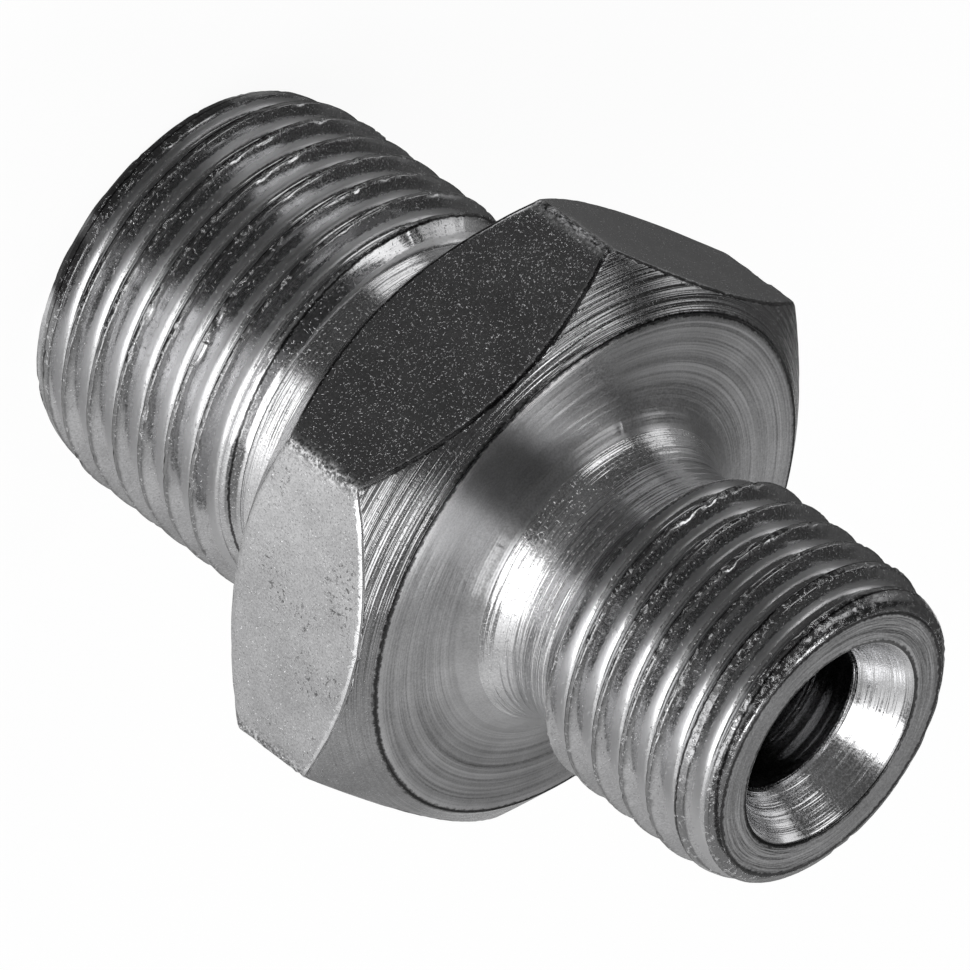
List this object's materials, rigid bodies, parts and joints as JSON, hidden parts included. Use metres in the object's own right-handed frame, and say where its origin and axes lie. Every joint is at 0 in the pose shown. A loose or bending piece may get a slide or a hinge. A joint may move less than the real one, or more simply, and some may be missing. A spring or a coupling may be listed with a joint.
{
  "type": "hose connector",
  "caption": "Straight reducing hose connector: a hexagon with chamfered corners between a larger and a smaller male thread, bored through, with a seat cone in each end.",
  "frame": {"origin": "on the axis, in the end face of the large thread, on which the part stands", "axes": "+Z along the axis from the large thread to the small thread, +X through a corner of the hexagon"},
  "size_m": [0.0278, 0.024, 0.0367],
  "materials": {
    "plated_steel": "turned steel with a thin grey zinc plating"
  },
  "bodies": {
    "root": {"connector_body": "plated_steel"}
  },
  "joints": []
}
